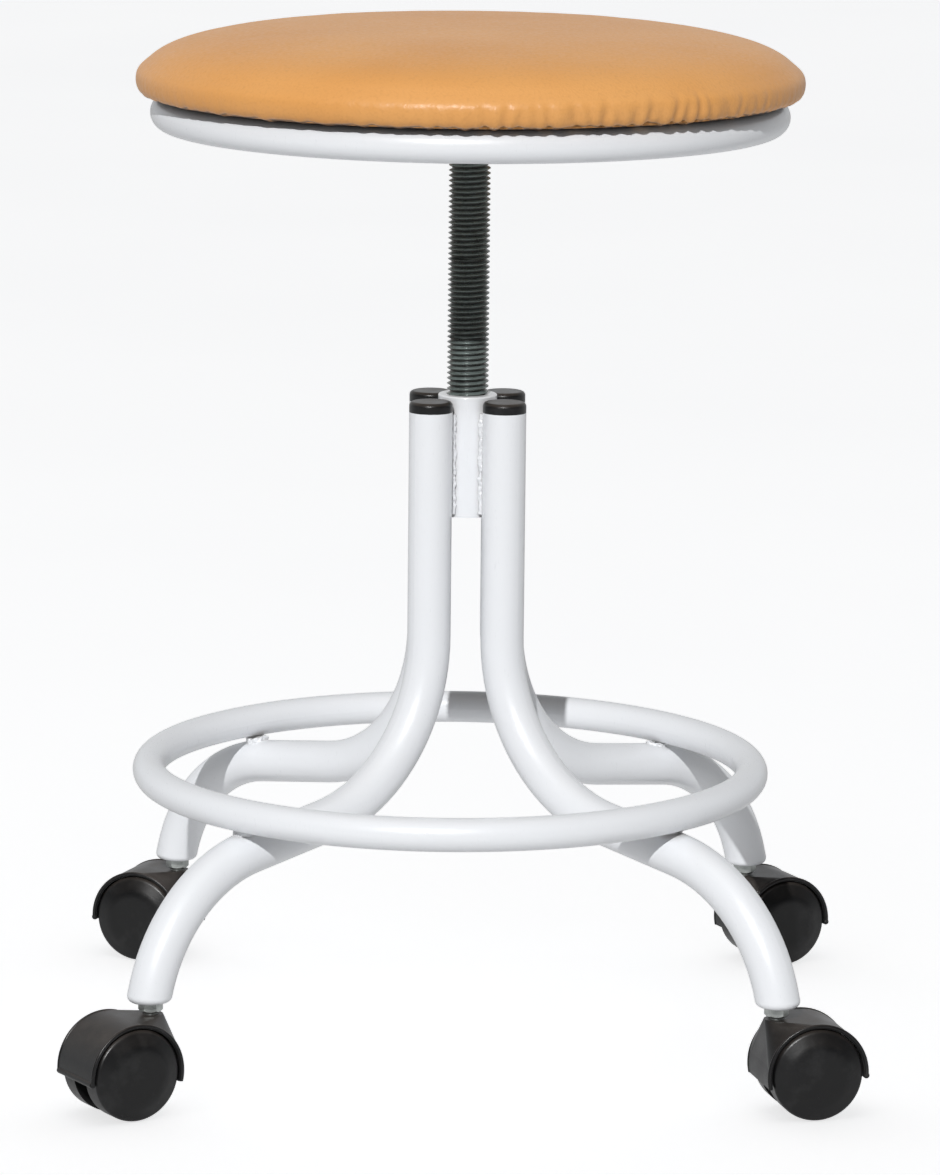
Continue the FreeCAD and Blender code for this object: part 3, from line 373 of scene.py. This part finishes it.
cover_finish = leatherette()
FINISHES = {
    "white_enamel": powder_coat(),
    "black_plastic": black_plastic("black_plastic", gloss=0.28, grain=0.25),
    "wheel_nylon": black_plastic("wheel_nylon", gloss=0.27, grain=0.18),
    "zinc_plate": zinc_plate(),
    "oiled_steel": oiled_steel(),
    "plywood": plywood(),
    "leatherette": cover_finish,
    "foam": cover_finish,  # the cushion stands for the cover and its foam as one piece
}
for part in frame["record"]["subparts"]:
    paint(frame["nodes"][part["node"]], FINISHES[part["material_slot"]])

# ---------------------------------------------------------------------------
# Mesh helpers
# ---------------------------------------------------------------------------


def coordinates(mesh):
    values = np.zeros(len(mesh.vertices) * 3)
    mesh.vertices.foreach_get("co", values)
    return values.reshape(-1, 3)


def set_coordinates(mesh, points):
    mesh.vertices.foreach_set("co", points.ravel())
    mesh.update()


def applied(obj):
    """Replaces an object's mesh with its own mesh after its modifiers."""
    depsgraph = bpy.context.evaluated_depsgraph_get()
    mesh = bpy.data.meshes.new_from_object(obj.evaluated_get(depsgraph))
    obj.modifiers.clear()
    obj.data = mesh


# ---------------------------------------------------------------------------
# Weld beads
# ---------------------------------------------------------------------------

SMALLER_LUMPS = 0.45  # size of the second, finer layer of lumps on a bead
RING_BEAD_INSET = 0.0055  # the beads sit on the side of the foot ring that faces the spindle


def roughen(obj, voxel, lump, height):
    """Turns smooth weld solids into lumpy beads."""
    even = obj.modifiers.new("even_mesh", "REMESH")
    even.mode = "VOXEL"
    even.voxel_size = voxel
    even.use_smooth_shade = True
    for number, share in ((1, 1.0), (2, SMALLER_LUMPS)):
        texture = bpy.data.textures.new("%s_lumps_%d" % (obj.name, number), "CLOUDS")
        texture.noise_scale = lump * share
        swell = obj.modifiers.new("lumps_%d" % number, "DISPLACE")
        swell.texture = texture
        swell.strength = height * share
        swell.mid_level = 0.5


def ring_beads():
    """The weld solids of the foot ring, moved towards the spindle."""
    mesh = frame["nodes"]["ring_welds"].data.copy()
    points = coordinates(mesh)
    radius = np.hypot(points[:, 0], points[:, 1])
    points[:, :2] *= (1 - RING_BEAD_INSET / radius)[:, None]
    set_coordinates(mesh, points)
    beads = bpy.data.objects.new("ring_weld_beads", mesh)
    bpy.context.scene.collection.objects.link(beads)
    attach(beads, "base")
    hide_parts("ring_welds")
    return beads


# ---------------------------------------------------------------------------
# Cushion
# ---------------------------------------------------------------------------

GRID = 48  # quads across the middle of the seat; the rings have four times as many
GRID_SHARE = 0.60  # radius of that middle as a share of the seat's radius
CROWN_STEPS = 19  # rings from the middle to the widest line
ROLL_STEPS = 8  # rings from the widest line to the underside
FOLD_STEPS = 5  # rings across the underside to the edge of the fold, which cannot move
RECESS_GAP = 0.0003  # room between the cushion and the board
SIDE_HEIGHT = 0.0098  # height of the widest line above the underside
ROLL = 0.0035  # how far the underside pulls in; more would bare the edge of the board
SHRINK = 0.0022  # how much smaller the cushion is before it is inflated
PRESSURE = 0.8  # higher pressures dome the top and pull the sides in
INFLATE_LIMIT = 0.0025  # farthest a point is moved by the inflation
INFLATE_FRAMES = 20
RELAX_STEPS = 8  # rounds of smoothing that soften the shoulder


def crown_height(share):
    """Height of the top above the widest line, as a share, at a share of the radius.

    The exponents set how far the flat middle reaches and how round the shoulder is.
    """
    return max(0.0, 1 - share ** 4.4) ** (1 / 2.05)


def seat_outline():
    """Radius and height from the grid's rim over the side to the edge of the fold.

    Also returns the fold's inner radius and the board's bottom, radius and top.
    """
    low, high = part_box("seat_cover")
    board_low, board_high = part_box("seat_board")
    radius, top, bottom = high.x - SHRINK, high.z - SHRINK, low.z
    side = bottom + SIDE_HEIGHT
    fold_radius = min(v.co.xy.length for v in frame["nodes"]["seat_cover"].data.vertices
                      if v.co.z < board_low.z)
    points = []
    for step in range(1, CROWN_STEPS + 1):
        share = GRID_SHARE + (1 - GRID_SHARE) * math.sin(math.pi / 2 * step / CROWN_STEPS)
        points.append((radius * share, side + (top - side) * crown_height(share)))
    for step in range(1, ROLL_STEPS + 1):
        angle = math.pi / 2 * step / ROLL_STEPS
        drop = (side - bottom) * math.sin(angle)
        points.append((radius - ROLL * (1 - math.cos(angle)), side - drop))
    edge = points[-1][0]
    for step in range(1, FOLD_STEPS + 1):
        points.append((edge + (fold_radius - edge) * step / FOLD_STEPS, bottom))
    return points, fold_radius, board_low.z, board_high.x, board_high.z


def disc_point(column, row):
    """A point of a square grid bent into the unit disc, evenly spaced on its rim."""
    u, v = (math.sqrt(2) * math.sin(math.pi / 2 * (k / GRID - 0.5)) for k in (column, row))
    return u * math.sqrt(1 - v * v / 2), v * math.sqrt(1 - u * u / 2)


def rim_walk():
    """Grid places once round the edge of the square, anticlockwise."""
    last = GRID
    bottom = [(k, 0) for k in range(last)]
    right = [(last, k) for k in range(last)]
    top = [(last - k, last) for k in range(last)]
    left = [(0, last - k) for k in range(last)]
    return bottom + right + top + left


def disc_patch(vertices, faces, radius, height, upwards):
    """Adds a quad-meshed disc and returns its rim's vertex numbers."""
    start, row_length = len(vertices), GRID + 1
    for row in range(row_length):
        for column in range(row_length):
            x, y = disc_point(column, row)
            vertices.append((radius * x, radius * y, height(math.hypot(x, y))))
    for row in range(GRID):
        for column in range(GRID):
            corner = start + row * row_length + column
            quad = (corner, corner + 1, corner + 1 + row_length, corner + row_length)
            faces.append(quad if upwards else quad[::-1])
    return [start + row * row_length + column for column, row in rim_walk()]


def join_rings(outer, new):
    """Quads between two rings with the same number of points."""
    count = len(outer)
    return [
        (outer[i], new[i], new[(i + 1) % count], outer[(i + 1) % count])
        for i in range(count)
    ]


def cushion_mesh():
    """Closed cushion: crowned top, rolled side, folded edge, recess for the board."""
    low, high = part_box("seat_cover")
    points, fold_radius, board_bottom, board_radius, board_top = seat_outline()
    recess = board_radius + RECESS_GAP
    side = low.z + SIDE_HEIGHT
    grid_radius = (high.x - SHRINK) * GRID_SHARE
    top = high.z - SHRINK
    lip = board_bottom - RECESS_GAP / 2
    inner = [(fold_radius, lip), ((fold_radius + recess) / 2, lip), (recess, lip)]
    inner += [(recess, board_top + RECESS_GAP), (recess * 0.8, board_top + RECESS_GAP)]
    vertices, faces = [], []

    def top_height(share):
        return side + (top - side) * crown_height(share * GRID_SHARE)

    def ceiling(share):
        """The recess for the board is flat."""
        return board_top + RECESS_GAP

    ring = disc_patch(vertices, faces, grid_radius, top_height, True)
    angles = [math.atan2(vertices[i][1], vertices[i][0]) for i in ring]
    moving = len(points) - FOLD_STEPS
    pinned = []
    for number, (radius, height) in enumerate(points + inner):
        start = len(vertices)
        vertices += [(radius * math.cos(a), radius * math.sin(a), height) for a in angles]
        new_ring = list(range(start, start + len(angles)))
        faces += join_rings(ring, new_ring)
        ring = new_ring
        if number >= moving:
            pinned += new_ring
    start = len(vertices)
    lower = disc_patch(vertices, faces, recess * GRID_SHARE, ceiling, False)
    faces += join_rings(ring, lower)
    pinned += range(start, len(vertices))
    mesh = bpy.data.meshes.new("cushion")
    mesh.from_pydata(vertices, [], faces)
    mesh.update()
    return mesh, pinned


def inflate(obj, pinned):
    """Cloth simulation that fills the cover; its fold stays on the board."""
    group = obj.vertex_groups.new(name="stapled")
    group.add(pinned, 1.0, "REPLACE")
    rest = coordinates(obj.data)
    cloth = obj.modifiers.new("cloth", "CLOTH").settings
    cloth.quality = 6
    cloth.mass = 0.4
    cloth.tension_stiffness = 30
    cloth.compression_stiffness = 20
    cloth.shear_stiffness = 12
    cloth.bending_stiffness = 2
    cloth.use_pressure = True
    cloth.uniform_pressure_force = PRESSURE
    cloth.vertex_group_mass = "stapled"
    cloth.effector_weights.gravity = 0
    scene = bpy.context.scene
    for number in range(1, INFLATE_FRAMES + 1):
        scene.frame_set(number)
    applied(obj)
    scene.frame_set(1)
    moved = coordinates(obj.data) - rest
    farthest = np.linalg.norm(moved, axis=1).max()
    set_coordinates(obj.data, rest + moved * min(1.0, INFLATE_LIMIT / farthest))


def subdivide(obj, levels):
    modifier = obj.modifiers.new("smooth", "SUBSURF")
    modifier.levels = levels
    modifier.render_levels = levels
    applied(obj)


def smooth_step(low, high, values):
    share = np.clip((values - low) / (high - low), 0, 1)
    return share * share * (3 - 2 * share)


GATHER_SEED = 11
FRONT_RIGHT = math.radians(-66)  # heading of the deepest gathers
GATHER_SPREAD = math.radians(27)
SHALLOW_TUCK = 0.00035
DEEP_TUCK = 0.0026  # added to the shallow depth where the cover is gathered most
TUCK_SPACING = (0.0066, 0.0108)
TUCK_WIDTH = (0.0021, 0.0031)
TUCK_HEIGHT = (0.013, 0.020)
TALLER = 0.008  # added at most to the height of the deepest tucks
TUCKS_START = 0.160  # radius on the underside where the tucks begin
TUCKS_FULL = 0.176  # radius where they have their full depth
EDGE_HEIGHT = 0.006  # how far up the lower edge is uneven
EDGE_WAVE = 0.00030  # size of that unevenness
EDGE_RISE = 0.7  # how far the edge is drawn up at a tuck, as a share of its depth


def gathers(radius):
    """Places, sizes and depths of the tucks round the lower edge."""
    rng = random.Random(GATHER_SEED)
    angle, found = -math.pi, []
    while angle < math.pi:
        near = math.exp(-((angle - FRONT_RIGHT) / GATHER_SPREAD) ** 2)
        depth = SHALLOW_TUCK + DEEP_TUCK * near
        found.append((
            angle,
            rng.uniform(*TUCK_WIDTH) * (1 + 0.25 * near),
            rng.uniform(*TUCK_HEIGHT) + TALLER * near * rng.random(),
            depth * rng.uniform(0.4, 1.1),
            rng.uniform(-0.25, 0.25),
        ))
        angle += rng.uniform(*TUCK_SPACING) / radius
    return found


def pucker(obj):
    """Presses tucks into the side where the cover is gathered under the board."""
    low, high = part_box("seat_cover")
    mesh = obj.data
    points = coordinates(mesh)
    radius = np.hypot(points[:, 0], points[:, 1])
    angle = np.arctan2(points[:, 1], points[:, 0])
    outside = (radius > TUCKS_START) & (points[:, 2] < high.z - 0.012)
    near_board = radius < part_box("seat_board")[1].x + 0.0012
    inside_recess = near_board & (points[:, 2] > low.z + 0.0008)
    chosen = np.where(outside & ~inside_recess)[0]
    angle, radius, height = angle[chosen], radius[chosen], points[chosen, 2] - low.z
    inwards = np.zeros(len(chosen))
    for centre, width, reach, depth, lean in gathers(high.x):
        turn = (angle - centre + math.pi) % (2 * math.pi) - math.pi
        offset = turn * high.x - lean * height
        fade = 1 - smooth_step(reach * 0.3, reach, height)
        dip = np.exp(-(offset / width) ** 2) - 0.3 * np.exp(-(offset / (2 * width)) ** 2)
        inwards += depth * fade * dip
    under = smooth_step(TUCKS_START, TUCKS_FULL, radius)
    inwards *= under
    wave = np.sin(angle * 61 + 1.3) + 0.8 * np.sin(angle * 97 + 0.4) + 0.6 * np.sin(angle * 29)
    near_edge = (1 - smooth_step(0, EDGE_HEIGHT, height)) * under
    droop = (EDGE_WAVE * wave + EDGE_RISE * inwards) * near_edge
    points[chosen, 0] -= inwards * np.cos(angle)
    points[chosen, 1] -= inwards * np.sin(angle)
    points[chosen, 2] += droop
    set_coordinates(mesh, points)


def settle_crown(obj):
    """Brings the inflated top and side back to the seat's own size, the underside flat."""
    low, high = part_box("seat_cover")
    points = coordinates(obj.data)
    radius = np.hypot(points[:, 0], points[:, 1])
    side = low.z + SIDE_HEIGHT
    above = points[:, 2] > side
    stretch = (high.z - side) / (points[:, 2].max() - side)
    points[above, 2] = side + (points[above, 2] - side) * stretch
    share = high.x / radius.max()
    outer = smooth_step(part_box("seat_board")[1].x, radius.max(), radius)
    points[:, :2] *= (1 + (share - 1) * outer)[:, None]
    points[:, 2] = np.maximum(points[:, 2], low.z)
    set_coordinates(obj.data, points)


def relax(obj, pinned):
    """Evens out the curve from the top over the side, as foam under vinyl does."""
    free = sorted(set(range(len(obj.data.vertices))) - set(pinned))
    obj.vertex_groups.new(name="free").add(free, 1.0, "REPLACE")
    smooth = obj.modifiers.new("relax", "SMOOTH")
    smooth.vertex_group = "free"
    smooth.factor = 0.5
    smooth.iterations = RELAX_STEPS
    applied(obj)


def build_cushion():
    mesh, pinned = cushion_mesh()
    cushion = bpy.data.objects.new("seat_cushion", mesh)
    bpy.context.scene.collection.objects.link(cushion)
    inflate(cushion, pinned)
    relax(cushion, pinned)
    settle_crown(cushion)
    subdivide(cushion, 2)
    pucker(cushion)
    cushion.data.polygons.foreach_set("use_smooth", [True] * len(cushion.data.polygons))
    paint(cushion, cover_finish)
    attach(cushion, "seat")
    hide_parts("seat_cover", "seat_foam")


roughen(frame["nodes"]["sleeve_welds"], voxel=0.0006, lump=0.0034, height=0.0022)
roughen(ring_beads(), voxel=0.0006, lump=0.0042, height=0.0036)
build_cushion()

# ---------------------------------------------------------------------------
# Studio
# ---------------------------------------------------------------------------

CAMERA_PLACE = (-0.022, -3.385, 0.8976)
CAMERA_TURN = (0.414, 10.582, 0.572)  # to the right, down and over, in degrees
FOCAL_LENGTH = 182.1  # millimetres, on a sensor 36 mm high


def build_floor():
    size = 30.0
    mesh = bpy.data.meshes.new("studio_floor")
    corners = [(-size, -size, 0), (size, -size, 0), (size, size, 0), (-size, size, 0)]
    mesh.from_pydata(corners, [], [(0, 1, 2, 3)])
    floor = bpy.data.objects.new("studio_floor", mesh)
    bpy.context.scene.collection.objects.link(floor)
    paint(floor, floor_paint())
    return floor


def direction(azimuth, elevation):
    """Unit vector to a light; azimuth 0 is the camera's side, positive to the right."""
    turn, rise = math.radians(azimuth), math.radians(elevation)
    level = math.cos(rise)
    return Vector((math.sin(turn) * level, -math.cos(turn) * level, math.sin(rise)))


def add_sun(azimuth, elevation, strength, spread, floor):
    """Key light on the stool alone, so the floor keeps only soft shadows."""
    light = bpy.data.lights.new("key_light", "SUN")
    light.energy = strength
    light.angle = math.radians(spread)
    lamp = bpy.data.objects.new("key_light", light)
    lamp.rotation_euler = direction(azimuth, elevation).to_track_quat("Z", "Y").to_euler()
    bpy.context.scene.collection.objects.link(lamp)
    lit = bpy.data.collections.new("key_light_receivers")
    lit.objects.link(floor)
    lit.collection_objects[0].light_linking.link_state = "EXCLUDE"
    lamp.light_linking.receiver_collection = lit


def add_panel(name, azimuth, elevation, distance, size, power):
    light = bpy.data.lights.new(name, "AREA")
    light.energy = power
    light.size = size
    lamp = bpy.data.objects.new(name, light)
    toward = direction(azimuth, elevation)
    lamp.location = Vector((0, 0, 0.3)) + toward * distance
    lamp.rotation_euler = toward.to_track_quat("Z", "Y").to_euler()
    bpy.context.scene.collection.objects.link(lamp)


def build_world():
    """White sweep behind and beside the stool, darker overhead and at the camera."""
    world = bpy.data.worlds.new("studio")
    world.use_nodes = True
    tree = world.node_tree
    view = add(tree, "TexCoord", {}).outputs["Generated"]
    parts = add(tree, "SeparateXYZ", {"Vector": view})
    behind = remap(tree, parts.outputs["Y"], -0.2, 0.45)
    low = remap(tree, parts.outputs["Z"], 0.15, 0.75, 1.0, 0.25)
    sweep = calculate(tree, "MULTIPLY", behind, low)
    strength = remap(tree, sweep, 0.0, 1.0, WORLD_DARK, WORLD_BRIGHT)
    background = tree.nodes["Background"]
    background.inputs["Color"].default_value = (0.95, 0.975, 1.0, 1)
    tree.links.new(strength, background.inputs["Strength"])
    bpy.context.scene.world = world


def build_camera():
    """Long lens at the eye height of a standing person, a little above the seat."""
    yaw, pitch, roll = (math.radians(angle) for angle in CAMERA_TURN)
    reach = math.cos(pitch)
    forward = Vector((math.sin(yaw) * reach, math.cos(yaw) * reach, -math.sin(pitch)))
    level = Vector((math.cos(yaw), -math.sin(yaw), 0))
    upright = level.cross(forward)
    right = math.cos(roll) * level + math.sin(roll) * upright
    up = -math.sin(roll) * level + math.cos(roll) * upright
    lens = bpy.data.cameras.new("camera")
    lens.lens = FOCAL_LENGTH
    lens.sensor_width = 36
    camera = bpy.data.objects.new("camera", lens)
    turned = Matrix((right, up, -forward)).transposed().to_4x4()
    camera.matrix_world = Matrix.Translation(CAMERA_PLACE) @ turned
    bpy.context.scene.collection.objects.link(camera)
    bpy.context.scene.camera = camera


floor = build_floor()
add_sun(azimuth=-9.5, elevation=36, strength=2.75, spread=0.8, floor=floor)
add_panel("overhead_panel", azimuth=-20, elevation=70, distance=2.6, size=2.2, power=9)
build_world()
build_camera()
bpy.context.scene.view_settings.view_transform = "Standard"
